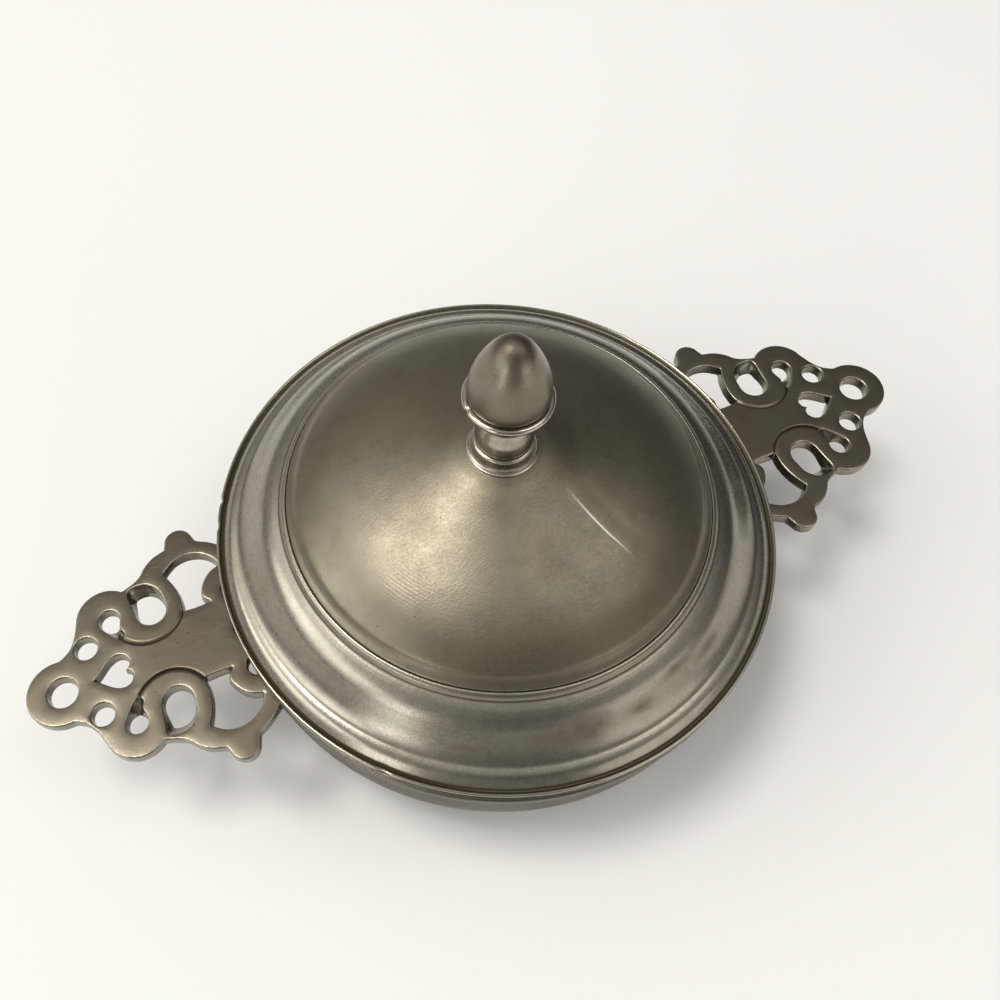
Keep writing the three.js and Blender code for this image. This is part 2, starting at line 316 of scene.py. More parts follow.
def bowl_wear(points):
    """Slight unevenness of a bowl that was turned and then used."""
    push = np.abs(0.05 * soft_noise(points, 22, 3))
    share = np.clip(np.linalg.norm(points[..., :2], axis=-1) / LIP_RADIUS, 0, 1)
    return points - outward(points, BOWL_AXIS) * (push * share)[..., None]


def make_bowl():
    bowl = turned("bowl_shell", bowl_profile(), BOWL_AXIS, FINE_STEPS, 1, bowl_wear)
    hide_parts("bowl")
    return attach(bowl, "bowl")


# Lid

def lid_profile():
    """Rim, border mouldings, hollow, swell, shoulder, crease and dome, then the underside outward."""
    low, high = RIM_LOW_ROUNDING, RIM_HIGH_ROUNDING
    rim = [
        *arc((LID_RADIUS - low, low), low, -90, 0, 8),
        *arc((LID_RADIUS - high, RIM_HEIGHT - high), high, 0, 90, 8),
    ]
    border = [
        *[(79.4, 1.97), (79.24, 1.84), (79.08, 1.55), (78.82, 1.38), (78.5, 1.35), (78.2, 1.5)],
        *smooth([(77.95, 1.9), (77.3, 2.6), (76.7, 3.2), (76.1, 3.72), (75.5, 4.1), (74.9, 4.35)]),
    ]
    slope = smooth([
        *[(74.3, 4.52), (73.6, 4.74), (73.0, 5.08), (72.1, 5.8), (71.0, 6.85), (69.8, 8.2)],
        *[(68.7, 9.55), (67.6, 10.9), (66.3, 12.45), (64.6, 14.0), (62.8, 15.1)],
        (SHOULDER_RADIUS + 0.3, SHOULDER_HEIGHT - 0.25),
    ])
    cove = smooth([
        (SHOULDER_RADIUS, SHOULDER_HEIGHT - 0.15),
        *[(60.7, 15.97), (60.4, 16.12), (60.12, 16.5), (59.8, 17.0), (59.5, 17.35)],
        *[(59.1, 17.6), (58.7, 17.7), (58.46, 17.6), (58.36, 17.3), (58.24, 17.75)],
        *[(58.0, 18.1), (57.5, 18.48), (57.0, 18.84), (56.6, 19.2)],
    ], 3)
    top = smooth(dome_line())
    boss = [
        (BOSS_RADIUS - 0.5, BOSS_HEIGHT - 0.12),
        (BOSS_RADIUS - 1, BOSS_HEIGHT),
        (SCREW_HOLE, BOSS_HEIGHT),
    ]
    return [*lid_underside(), *rim, *border, *slope, *cove, *top, *boss]


def dome_line(drop=0):
    """Bell-shaped rise of the lid from its crease to the boss under the finial."""
    shares = [(0.043, 0.092), (0.08, 0.186), (0.21, 0.37), (0.38, 0.53), (0.58, 0.67)]
    shares += [(0.78, 0.81), (0.92, 0.934)]
    run, rise = CREASE_RADIUS - BOSS_RADIUS, BOSS_HEIGHT - CREASE_HEIGHT
    line = [(CREASE_RADIUS - across * run, CREASE_HEIGHT + up * rise - drop) for across, up in shares]
    return [*line, (BOSS_RADIUS, BOSS_HEIGHT - 0.35 - drop)]


def lid_underside():
    """Underside from the screw's hole to the rim, one wall below the top."""
    flat = BOSS_HEIGHT - BOSS_THICKNESS
    under_dome = smooth(list(reversed(dome_line(LID_WALL)))[2:])
    slope = smooth([
        (SHOULDER_RADIUS - 0.4, SHOULDER_HEIGHT - LID_WALL),
        *[(64.4, 12.3), (67.3, 8.8), (68.6, 6.4), (70.3, 3.8), (72.8, 2.6)],
    ])
    return [(SCREW_HOLE, flat), (BOSS_RADIUS, flat), *under_dome, *slope, (73.3, 0.2), (73.8, 0)]


def lid_place(angle, radius):
    """Place on the lid at an angle in degrees from the ears' line, seen from above, and a radius."""
    turn = math.radians(angle)
    return LID_AXIS + radius * np.array([math.cos(turn), math.sin(turn)])


def bump_at(points, centre, along, length, width):
    """A soft hill from 0 to 1 round a place, longer along one direction in degrees."""
    turn = math.radians(along)
    offset = points[..., :2] - centre
    ahead = offset[..., 0] * math.cos(turn) + offset[..., 1] * math.sin(turn)
    aside = offset[..., 1] * math.cos(turn) - offset[..., 0] * math.sin(turn)
    return np.exp(-((ahead / length) ** 2) - (aside / width) ** 2)


def lid_wear(points):
    """Dents, ripples and rim chips that use has left in the lid."""
    made = points.copy()
    offset = points[..., :2] - LID_AXIS
    radius = np.linalg.norm(offset, axis=-1)
    on_slope = np.exp(-(((radius - 68) / 6) ** 2))
    made[..., 2] += 0.04 * soft_noise(points, 26, 1) + 0.05 * on_slope * soft_noise(points, 11, 2)
    made[..., 2] -= DENT_DEPTH * bump_at(points, lid_place(*DENT_PLACE), DENT_TURN, *DENT_SIZE)
    for angle, depth, length in RIM_CHIPS:
        chip = depth * bump_at(points, lid_place(angle, LID_RADIUS), angle, 1.6, length)
        made[..., :2] -= offset / radius[..., None] * chip[..., None]
        made[..., 2] -= 0.5 * chip
    return made


def lid_blotches_and_groove_shade(lid):
    """Keeps for the lid's material how far each point lies in a dark blotch, and in the rim's brown band,
    which is partly painted shade.
    """
    count = len(lid.data.vertices)
    points = np.empty(count * 3)
    lid.data.vertices.foreach_get("co", points)
    points = points.reshape(-1, 3) / METRES
    share = np.zeros(count)
    for angle, radius, along, across in BLOTCHES:
        share += bump_at(points, lid_place(angle, radius), angle + 90, along, across)
    # The rim's band: the groove's oxide, with painted shade on the left side
    middle, reach, radius, width = RIM_GROOVE_OXIDE_AND_SHADE
    offset = points[:, :2] - LID_AXIS
    turn = (np.degrees(np.arctan2(offset[:, 1], offset[:, 0])) - middle + 180) % 360 - 180
    across = (np.linalg.norm(offset, axis=1) - radius) / width
    on_top = points[:, 2] > LID_SEAT + RIM_HEIGHT / 2
    band = np.exp(-(across**2)) * np.clip((reach - np.abs(turn)) / 15, 0, 1) * on_top
    share = np.clip(share, 0, 1) + 2 * band
    layer = lid.data.attributes.new("blotch_and_groove_shade", "FLOAT", "POINT")
    layer.data.foreach_set("value", share.astype(np.float32))


def make_lid():
    """Cover of the lid. The flat round its boss never wears bright."""
    def dull(height):
        return np.where(height > LID_SEAT + BOSS_HEIGHT - 0.6, -0.2, 1.0)

    lid = turned("lid_cover", raised(lid_profile(), LID_SEAT), LID_AXIS, FINE_STEPS, 0.7, lid_wear, dull)
    lid_blotches_and_groove_shade(lid)
    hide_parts("lid")
    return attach(lid, "lid")


def make_bezel():
    """Ring under the lid that keeps it in the bowl's mouth."""
    outer = bezel_high[0] - LID_AXIS[0]
    inner = outer - BEZEL_WALL
    low, high = bezel_low[2], bezel_high[2]
    rounding = BEZEL_ROUNDING
    profile = [
        *arc((inner + rounding, low + rounding), rounding, 180, 270, 4),
        *arc((outer - rounding, low + rounding), rounding, 270, 360, 4),
        (outer, high - 0.4),
        (inner, high),
    ]
    profile.append(profile[0])
    ring = turned("bezel_ring", profile, LID_AXIS, FINE_STEPS, 1)
    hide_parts("lid_bezel")
    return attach(ring, "lid")


# Finial

def nick_share(points):
    """How far each point lies in the small nick in the disc's edge."""
    centre = lid_place(DISC_NICK_ANGLE, DISC_RADIUS)
    near_top = points[..., 2] > stem_high[2] - DISC_THICKNESS - 0.1
    return (bump_at(points, centre, DISC_NICK_ANGLE, 1.2, 0.5) * near_top)[..., None]


def make_neck():
    """Flared foot, waisted neck and the thin disc under the acorn."""
    foot = stem_low[2]
    top = stem_high[2] - foot
    edge = DISC_THICKNESS / 2
    ring, ring_height = FOOT_RING_RADIUS, FOOT_RING_HEIGHT
    skirt = [(9.0, 0.1), (8.5, 0.55), (8.22, 1.2), (8.08, 2.1), (8, 3.2)]
    waist = smooth([
        (ring - 0.45, ring_height - 0.3),
        (ring - 0.15, ring_height + 0.5),
        (ring - 0.05, ring_height + 1.8),
        (ring - 0.3, ring_height + 3.8),
        (ring - 1, ring_height + 6.2),
        (NECK_RADIUS - 0.9, ring_height + 8.6),
        (NECK_RADIUS - 0.3, ring_height + 11),
        (NECK_RADIUS + 1.1, top - DISC_THICKNESS - 1.1),
        (NECK_RADIUS + 2.6, top - DISC_THICKNESS - 0.05),
    ])
    profile = [
        (SCREW_HOLE, 0),
        (BOSS_RADIUS - 0.6, 0),
        *smooth([(BOSS_RADIUS - 0.2, -0.15), *skirt], 5),
        *smooth([(7.92, 3.55), (ring, 3.8), (ring - 0.4, ring_height - 0.5)], 3),
        *waist,
        *arc((DISC_RADIUS - edge, top - edge), edge, -90, 90, 12),
        *arc((ACORN_RADIUS - 0.3, top - 0.3), 0.3, 90, 150, 3),
        (SCREW_HOLE, top - 0.3),
        (SCREW_HOLE, 0),
    ]

    def wear(points):
        return points - DISC_NICK_DEPTH * nick_share(points) * outward(points, LID_AXIS)

    def dull(height):
        return np.where(height < foot + 3.2, -0.25, 1.0)

    neck = turned("finial_neck", raised(profile, foot), LID_AXIS, SMALL_STEPS, 0.5, wear, dull)
    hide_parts("finial_stem")
    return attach(neck, "lid")


def make_acorn():
    """Acorn of the finial, seated on the disc."""
    foot = acorn_low[2] - ACORN_SINK
    length = acorn_high[2] - foot
    shares = [(0.96, 0), (1, 0.12), (0.94, 0.32), (0.8, 0.54), (0.6, 0.75)]
    shares += [(0.4, 0.9), (0.2, 0.975), (0, 1)]
    outline = smooth([(ACORN_RADIUS * across, length * up) for across, up in shares])
    profile = [(0, 3), (SCREW_HOLE, 3), (SCREW_HOLE, 0), *outline]
    profile[-1] = (0, length)

    def wear(points):
        made = points.copy()
        made[..., :2] += 0.04 * soft_noise(points, 5, 7)[..., None]
        return made

    def dull(height):
        return np.interp(height, [acorn_high[2] - 7, acorn_high[2] - 1.5], [0.3, -0.45])

    acorn = turned("finial_knob", raised(profile, foot), LID_AXIS, SMALL_STEPS, 0.5, wear, dull)
    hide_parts("finial_acorn")
    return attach(acorn, "lid")


# Ears

EAR_ROOT_SPREAD = 25.2
EAR_KNOB = (85.9, 32.3)
EAR_KNOB_RADIUS = 4.05
EAR_SCROLL = (110.8, 16.7)
EAR_SCROLL_RADIUS = 8.6
EAR_TIP = (127.4, 0)
EAR_TIP_RADIUS = 9.3
EAR_TIP_HOLE = ((127, 0), 4.2)
EAR_SIDE_HOLE = ((118.4, 10.05), 3.25)
EAR_EYE = (98.9, 14.3)
EAR_EYE_RADIUS = 4.3
EAR_DROP = (110.5, 15.8)
EAR_DROP_RADIUS = 3.0
EAR_HEART_END = 118.7
EAR_HEART_LENGTH = 10.2
EAR_HEART_WIDTH = 9.6
EAR_BRACKET_REACH = 7
EAR_BRACKET_WIDTH = 15
EAR_CREASE_CENTRE = (100.0, 15.07)
EAR_CREASE_RADIUS = 10.42
EAR_CREASE_ENDS = (206, 322)
EAR_NOTCH_RADIUS = 3.1
EAR_NOTCHES = [(75.8, -12.4), (75.8, 0), (75.8, 12.4)]
EAR_EYE_LOOPS = (5, 6)
EAR_DROP_LOOPS = (7, 8)


def ear_edge():
    """Half of the ear's outer edge, from inside the bowl's wall to the tip."""
    root = smooth([(70, 23.2), (74.7, 26.6), (77.6, 28.9), (81.2, 30.9)], 4)
    knob = arc(EAR_KNOB, EAR_KNOB_RADIUS, 172, 12, 14)
    waist = smooth([(90.5, 31.3), (94.2, 30.2), (97.2, 28.1), (99.4, 25.6), (102, 24.2), (104.9, 23.2)], 4)
    scroll = arc(EAR_SCROLL, EAR_SCROLL_RADIUS, 130, 12, 18)
    neck = smooth([(119.3, 18.2), (120.7, 14.4), (122.8, 11.2), (125.3, 9.5)], 4)
    tip = arc(EAR_TIP, EAR_TIP_RADIUS, 98, 0, 16)
    return [*root, *knob, *waist, *scroll, *neck, *tip]


def root_opening():
    """Opening between root and scroll, with two points towards the bowl."""
    outer = [(77, 20.8), (78.6, 24), (81.5, 26.3), (85.2, 27.3), (88.8, 26.7), (91.2, 25.2), (92.8, 23.8)]
    ribbon = smooth([(92.8, 23.8), (91.3, 20.5), (90.4, 17), (90.2, 13.6), (90.6, 10.6)], 4)
    shield = smooth([(90.6, 10.6), (86.5, 10.4), (82.6, 10.6)], 4)
    scallop = smooth([(82.6, 10.6), (84.3, 12.9), (83.9, 15.2), (82.3, 17.8), (80, 19.8), (77, 20.8)], 4)
    return without_repeats([*smooth(outer, 4), *ribbon, *shield, *scallop[:-1]])


def eye_opening():
    """Opening in the middle of a scroll, round towards the middle line and with one square corner."""
    low = arc(EAR_EYE, EAR_EYE_RADIUS, 180, 350, 16)
    side = smooth([(103.25, 14.4), (103.5, 17.5), (103.9, 20.9)], 4)
    high = [(103.7, 21.9), (102.8, 22.7), (100.2, 22.9), (97.6, 22.2), (95.3, 19.4), (94.6, 14.9)]
    return without_repeats([*low, *side, *smooth(high, 5)])


def drop_opening():
    """Drop-shaped hole whose tail runs into the crease."""
    head = arc(EAR_DROP, EAR_DROP_RADIUS, -35, 200, 16)
    tail = smooth([(107.7, 14.6), (108.2, 12.4), (107.5, 10.4), (108.2, 8.8)], 4)
    back = smooth([(108.4, 8.7), (110.2, 10.2), (112.0, 12.6), (112.9, 13.9)], 4)
    return without_repeats([*head, *tail, *back])


def heart_opening():
    """Heart with its point towards the tip."""
    turn = np.linspace(0, 2 * np.pi, 48, endpoint=False)
    along = 13 * np.cos(turn) - 4 * np.cos(2 * turn) - 1.5 * np.cos(3 * turn) - 0.5 * np.cos(4 * turn)
    across = EAR_HEART_WIDTH / 2 * np.sin(turn) ** 3
    return [*zip(EAR_HEART_END - EAR_HEART_LENGTH * (along + 16) / 26, across)]


def mirrored(loop):
    """The same points on the other side of the ear's middle line, still in the same sense."""
    return [(x, -y) for x, y in reversed(loop)]


def even(loop, spacing):
    """A closed loop with points at even steps along it."""
    line = np.array([*loop, loop[0]], float)
    run = run_along(line)
    count = max(12, round(run[-1] / spacing))
    return points_on(line, run, np.arange(count) * run[-1] / count)


def notched(point):
    """The point, moved outward where one of the small round notches at the ear's root lies."""
    for across, aside in EAR_NOTCHES:
        off = abs(point[1] - aside)
        if off < EAR_NOTCH_RADIUS:
            reach = across + math.sqrt(EAR_NOTCH_RADIUS**2 - off**2)
            if reach > point[0]:
                return (reach, point[1])
    return point


def drawn_in(loop, centre, reach, give):
    """A loop of points, drawn in towards a centre where they lie further off than the reach."""
    away = loop - np.array(centre)
    distance = np.linalg.norm(away, axis=1, keepdims=True)
    held = np.minimum(distance, reach) + give * np.maximum(distance - reach, 0)
    return np.array(centre) + away * held / distance


def leftward(loop, step):
    """Unit vectors to the left of a closed loop, each from the two points that many steps away."""
    along = np.roll(loop, -step, axis=0) - np.roll(loop, step, axis=0)
    along /= np.linalg.norm(along, axis=1, keepdims=True)
    return np.stack([-along[:, 1], along[:, 0]], axis=1)


def turns_left(loop):
    """Whether a closed loop runs anticlockwise."""
    following = np.roll(loop, -1, axis=0)
    return (loop[:, 0] * following[:, 1] - following[:, 0] * loop[:, 1]).sum() > 0


def drafted(loop):
    """An opening's loop, a little smaller all round."""
    return loop + leftward(loop, 2) * (EAR_DRAFT if turns_left(loop) else -EAR_DRAFT)


def lower_loops(loops):
    """The same loops on the underside, where the eyes and the drops are smaller and round."""
    made = list(loops)
    eyes = (EAR_EYE_LOOPS, EAR_EYE, EAR_EYE_RADIUS, 0.5)
    drops = (EAR_DROP_LOOPS, EAR_DROP, EAR_DROP_RADIUS, 0.08)
    for numbers, centre, reach, give in (eyes, drops):
        for number, side in zip(numbers, (1, -1)):
            made[number] = drawn_in(loops[number], (centre[0], side * centre[1]), reach, give)
    return [made[0], *(drafted(loop) for loop in made[1:])]


def ear_loops():
    """Outer edge first, then every opening, as closed loops of even points."""
    half = ear_edge()
    wall_radius = COLLAR_RADIUS - 0.1
    root_angle = math.degrees(math.asin(EAR_ROOT_SPREAD / wall_radius))
    wall = [notched(point) for point in arc((0, 0), wall_radius, -root_angle, root_angle, 120)]
    upper = [point for point in half if math.hypot(*point) > COLLAR_RADIUS]
    outer = [*wall, *upper, *mirrored(upper)[1:]]
    holes = [heart_opening(), arc(*EAR_TIP_HOLE, 0, 350, 35)]
    for opening in (root_opening(), eye_opening(), drop_opening(), arc(*EAR_SIDE_HOLE, 0, 350, 35)):
        holes += [opening, mirrored(opening)]
    return [even(loop, EAR_POINT_SPACING) for loop in [outer, *holes]]


def edge_distance(points, loops):
    """Distance from each point to the nearest loop, above 0 on the metal and below 0 off it."""
    starts = np.concatenate(loops)
    ends = np.concatenate([np.roll(loop, -1, axis=0) for loop in loops])
    run = ends - starts
    length = np.maximum(np.einsum("ij,ij->i", run, run), 1e-12)
    nearest = np.empty(len(points))
    inside = np.empty(len(points), bool)
    for first in range(0, len(points), 2000):
        part = points[first:first + 2000]
        offset = part[:, None] - starts[None]
        share = np.clip(np.einsum("ijk,jk->ij", offset, run) / length, 0, 1)
        gap = offset - share[..., None] * run[None]
        nearest[first:first + 2000] = np.sqrt(np.einsum("ijk,ijk->ij", gap, gap).min(axis=1))
        above = starts[None, :, 1] > part[:, None, 1]
        crosses = above != (ends[None, :, 1] > part[:, None, 1])
        slope = np.where(np.abs(run[:, 1]) < 1e-12, 1e-12, run[:, 1])
        where = starts[:, 0] + (part[:, None, 1] - starts[:, 1]) * run[:, 0] / slope
        inside[first:first + 2000] = (crosses & (where > part[:, None, 0])).sum(axis=1) % 2 == 1
    return np.where(inside, nearest, -nearest)


def crease_offset(points):
    """Distance from each point to a scroll's crease, above 0 towards the scroll, and to its ends."""
    folded = np.stack([points[:, 0], np.abs(points[:, 1])], axis=1) - EAR_CREASE_CENTRE
    angle = np.degrees(np.arctan2(folded[:, 1], folded[:, 0])) % 360
    off = EAR_CREASE_RADIUS - np.linalg.norm(folded, axis=1)
    start, end = EAR_CREASE_ENDS
    past = np.maximum(np.maximum(start - angle, angle - end), 0)
    return off, np.radians(past) * EAR_CREASE_RADIUS


def crease_distance(points):
    """Distance from each point to the crease that parts a scroll from the flat middle."""
    off, past = crease_offset(points)
    return np.abs(off) + past


def crease_share(points):
    """Depth of the crease from 0 to 1: steep on the flat side, and bevelled on the scroll's side."""
    off, past = crease_offset(points)
    steep = np.exp(-((off / EAR_CREASE_WIDTH) ** 2))
    bevel = np.clip(1 - off / EAR_BEVEL_WIDTH, 0, 1)
    return np.where(off > 0, bevel, steep) * np.exp(-((past / 0.5) ** 2))


def ear_cover_points(loops):
    """Points that the ear's faces are drawn through: loops, rings inside them, creases and a grid."""
    border = np.concatenate(loops)
    rounding = EAR_EDGE_ROUNDING
    extra = []
    for number, loop in enumerate(loops):
        metal_is_left = turns_left(loop) == (number == 0)
        inward = leftward(loop, 1) * (1 if metal_is_left else -1)
        for share in (0.08, 0.3, 0.62, 1, 1.7):
            ring = loop + inward * share * rounding
            extra.append(ring[edge_distance(ring, loops) > 0.85 * share * rounding])
    for offset in (-1.3, -1, -0.6, -0.25, 0, 0.12, 0.25, 0.5, 0.8):
        line = arc(EAR_CREASE_CENTRE, EAR_CREASE_RADIUS + offset, *EAR_CREASE_ENDS, 64)
        extra.append(np.array([*line, *mirrored(line)]))
    low, high = border.min(axis=0), border.max(axis=0)
    columns, rows = np.meshgrid(*(np.arange(low[k], high[k], EAR_GRID) for k in range(2)))
    columns = columns + (np.arange(len(rows)) % 2)[:, None] * EAR_GRID / 2
    grid = np.stack([columns.ravel(), rows.ravel()], axis=1)
    extra.append(grid[crease_distance(grid) > 1.5])
    inner = np.concatenate(extra)
    distance = edge_distance(inner, loops)
    rings = len(inner) - len(extra[-1])
    keep = distance > np.where(np.arange(len(inner)) < rings, 0.03, 1.7 * rounding + 0.3)
    inner = inner[keep]
    cells = np.round(inner / 0.17).astype(int)
    _, first = np.unique(cells, axis=0, return_index=True)
    return border, inner[np.sort(first)]


def ear_faces(border, inner, loops):
    """Triangles that cover the ear's metal, on the border points and the inner ones."""
    edges, start = [], 0
    for loop in loops:
        count = len(loop)
        edges += [(start + i, start + (i + 1) % count) for i in range(count)]
        start += count
    points = np.concatenate([border, inner])
    corners = [Vector(point) for point in points.tolist()]
    made_points, _, faces, origins, _, _ = geometry.delaunay_2d_cdt(corners, edges, [], 0, 1e-6)
    places = np.array([tuple(point) for point in made_points])
    triangles = np.array([face for face in faces if len(face) == 3])
    middle = places[triangles].mean(axis=1)
    triangles = triangles[edge_distance(middle, loops) > 0]
    lookup = {origin[0]: i for i, origin in enumerate(origins) if origin}
    return places, triangles, lookup


def ear_heights(places, loops, seed):
    """Height of the ear's upper and lower face at each place, and how far it is an edge or a crease."""
    distance = np.maximum(edge_distance(places, loops), 0)

    def rounded(rounding):
        short = np.clip(rounding - distance, 0, rounding)
        return rounding - np.sqrt(np.maximum(rounding**2 - short**2, 0))

    crown = EAR_CROWN * (1 - np.clip(distance / 2.4, 0, 1)) ** 2
    crease = crease_share(places)
    spot = np.column_stack([places, np.zeros(len(places))])
    cast = 0.02 * soft_noise(spot, 7, seed) + 0.008 * soft_noise(spot, 2.2, seed + 1)
    upper = EAR_TOP - 0.06 - rounded(EAR_EDGE_ROUNDING) - crown - EAR_CREASE_DEPTH * crease + cast
    lower = EAR_TOP - EAR_THICKNESS + rounded(EAR_BACK_ROUNDING) + 1.5 * cast
    edge = np.exp(-((distance / 0.45) ** 2)) - 0.7 * np.exp(-((crease_distance(places) / 0.28) ** 2))
    return upper, lower, np.clip(edge, -1, 1)


def ear_mesh(seed):
    """Points, faces and fold values of one ear along +X."""
    loops = ear_loops()
    covers = []
    points, values, faces = [], [], []
    for is_upper, cover_loops in ((True, loops), (False, lower_loops(loops))):
        border, inner = ear_cover_points(cover_loops)
        places, triangles, lookup = ear_faces(border, inner, cover_loops)
        upper, lower, fold = ear_heights(places, cover_loops, seed)
        heights = upper if is_upper else lower
        first = len(points)
        points += [*np.column_stack([places, heights])]
        values += [*(fold if is_upper else 0.6 * fold)]
        one = places[triangles[:, 1]] - places[triangles[:, 0]]
        two = places[triangles[:, 2]] - places[triangles[:, 0]]
        looks_up = one[:, 0] * two[:, 1] - one[:, 1] * two[:, 0] > 0
        triangles = np.where((looks_up == is_upper)[:, None], triangles, triangles[:, ::-1])
        faces += [tuple(t) for t in (triangles + first).tolist()]
        covers.append({number: first + place for number, place in lookup.items()})

    start = 0
    for loop in loops:
        top_ring = [covers[0][start + i] for i in range(len(loop))]
        low_ring = [covers[1][start + i] for i in range(len(loop))]
        first_middle = len(points)
        points += [(points[a] + points[b]) / 2 for a, b in zip(top_ring, low_ring)]
        # The walls get a fold value high enough for the bright worn colour: a painted highlight on them
        values += [0.7] * len(loop)
        forward = turns_left(loop) == (start == 0)
        start += len(loop)
        for k in range(len(loop)):
            n = (k + 1) % len(loop)
            bands = (
                (top_ring[k], top_ring[n], first_middle + n, first_middle + k),
                (first_middle + k, first_middle + n, low_ring[n], low_ring[k]),
            )
            for band in bands:
                faces.append(tuple(reversed(band)) if forward else band)
    return np.array(points), faces, np.array(values)


def add_bracket(ear):
    """Rounded wedge under the ear that carries it on the bowl's collar."""
    top, low = EAR_TOP - EAR_THICKNESS + 0.4, ear_low[2]
    near, far = COLLAR_RADIUS - 0.5, COLLAR_RADIUS + EAR_BRACKET_REACH
    corners = [(near, low + 0.2), (near + 0.9, low + 0.2), (far, top - 0.7), (far, top), (near, top)]
    work = bmesh.new()
    work.from_mesh(ear.data)
    sides = []
    for y in (-EAR_BRACKET_WIDTH / 2, EAR_BRACKET_WIDTH / 2):
        sides.append([work.verts.new((x * METRES, y * METRES, z * METRES)) for x, z in corners])
    caps = [work.faces.new(sides[0]), work.faces.new(list(reversed(sides[1])))]
    count = len(corners)
    for k in range(count):
        n = (k + 1) % count
        caps.append(work.faces.new((sides[0][n], sides[0][k], sides[1][k], sides[1][n])))
    edges = list({edge for face in caps for edge in face.edges})
    bmesh.ops.recalc_face_normals(work, faces=caps)
    bmesh.ops.bevel(work, geom=edges, offset=0.55 * METRES, segments=3, profile=0.5, affect="EDGES")
    for face in work.faces:
        face.smooth = True
    work.to_mesh(ear.data)
    work.free()


def make_ear(node, name, turn, seed):
    points, faces, fold = ear_mesh(seed)
    ear = make_object(name, points, faces, fold)
    add_bracket(ear)
    ear.data.transform(Matrix.Rotation(math.radians(turn), 4, "Z"))
    ear.data.set_sharp_from_angle(angle=math.radians(50))
    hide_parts(node)
    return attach(ear, "bowl")


# Materials

def put(tree, socket, value):
    """Gives an input a plain value or a link."""
    if isinstance(value, bpy.types.NodeSocket):
        tree.links.new(value, socket)
    else:
        socket.default_value = value


def add(tree, kind, values=None, **settings):
    """Adds a node. Settings are its properties, and values its inputs, as plain values or links."""
    made = tree.nodes.new(kind)
    for key, value in settings.items():
        setattr(made, key, value)
    for key, value in (values or {}).items():
        put(tree, made.inputs[key], value)
    return made


def calculate(tree, operation, first, second=0.0, clamp=False):
    """The result of a calculation with one or two numbers."""
    made = add(tree, "ShaderNodeMath", {0: first, 1: second}, operation=operation, use_clamp=clamp)
    return made.outputs[0]


def plus(tree, first, second, clamp=False):
    return calculate(tree, "ADD", first, second, clamp)


def minus(tree, first, second, clamp=False):
    return calculate(tree, "SUBTRACT", first, second, clamp)


def times(tree, first, second):
    return calculate(tree, "MULTIPLY", first, second)


def vector_math(tree, operation, values):
    """The result of a calculation with vectors, which for some operations is a number."""
    made = add(tree, "ShaderNodeVectorMath", values, operation=operation)
    return made.outputs["Value" if operation in ("LENGTH", "DISTANCE", "DOT_PRODUCT") else "Vector"]


def span(tree, value, low, high, new_low=0.0, new_high=1.0, shape="LINEAR"):
    """Moves a value from one range to another, and holds it there."""
    ranges = {"From Min": low, "From Max": high, "To Min": new_low, "To Max": new_high}
    made = add(tree, "ShaderNodeMapRange", {"Value": value, **ranges}, interpolation_type=shape)
    return made.outputs["Result"]


def soft_span(tree, value, low, high):
    """Like span, from 0 to 1 with a soft start and end."""
    return span(tree, value, low, high, shape="SMOOTHSTEP")


def blend_colour(tree, share, first, second):
    """The blend of two colours. The node has inputs of other kinds with the same names."""
    made = add(tree, "ShaderNodeMix", {"Factor": share}, data_type="RGBA")
    for socket in made.inputs:
        if socket.type == "RGBA":
            put(tree, socket, first if socket.name == "A" else second)
    return next(socket for socket in made.outputs if socket.type == "RGBA")


def grain(tree, vector, scale, detail=2.0, rough=0.5):
    """Noise round 0.5. The scale is in lumps per millimetre."""
    values = {"Vector": vector, "Scale": scale, "Detail": detail, "Roughness": rough}
    return add(tree, "ShaderNodeTexNoise", values).outputs["Fac"]


def millimetres(tree, axis):
    """The place on the piece in millimetres, measured from its turning axis."""
    place = add(tree, "ShaderNodeTexCoord").outputs["Object"]
    scaled = vector_math(tree, "SCALE", {0: place, "Scale": 1 / METRES})
    return vector_math(tree, "SUBTRACT", {0: scaled, 1: (axis[0], axis[1], 0.0)})


def ring_vector(tree, place, around, across):
    """Coordinates that run slowly round the turning axis and fast across it, for turning marks."""
    parts = add(tree, "ShaderNodeSeparateXYZ", {0: place})
    flat = add(tree, "ShaderNodeCombineXYZ", {0: parts.outputs[0], 1: parts.outputs[1]}).outputs[0]
    unit = vector_math(tree, "NORMALIZE", {0: flat})
    turned_part = vector_math(tree, "SCALE", {0: unit, "Scale": around})
    reach = plus(tree, vector_math(tree, "LENGTH", {0: flat}), times(tree, parts.outputs[2], 0.8))
    height = times(tree, reach, across)
    halves = add(tree, "ShaderNodeSeparateXYZ", {0: turned_part})
    made = add(tree, "ShaderNodeCombineXYZ", {0: halves.outputs[0], 1: halves.outputs[1], 2: height})
    return made.outputs[0]


def scratches(tree, place, turn, seed):
    """Thin straight scratches in one direction, from 0 to 1."""
    values = {"Location": (seed, 2 * seed, 0), "Rotation": (0, 0, turn), "Scale": (0.05, 2.2, 2.2)}
    mapped = add(tree, "ShaderNodeMapping", {"Vector": place, **values})
    lines = grain(tree, mapped.outputs[0], 1.0, 2.0)
    patches = grain(tree, place, 0.06, 1.0)
    thin = span(tree, lines, 0.68, 0.72)
    return times(tree, thin, span(tree, patches, 0.45, 0.6))


def brush_strokes(tree, place, turn):
    """Short strokes side by side in one direction, from 0 to 1."""
    values = {"Vector": place, "Rotation": (0, 0, -turn), "Scale": (0.42, 2.6, 2.6)}
    mapped = add(tree, "ShaderNodeMapping", values)
    return grain(tree, mapped.outputs[0], 1.0, 2.0, 0.6)


def pit_marks(tree, place):
    """A few small pits, from 0 to 1."""
    cells = add(tree, "ShaderNodeTexVoronoi", {"Vector": place, "Scale": 0.16})
    return span(tree, cells.outputs["Distance"], 0.05, 0.03)


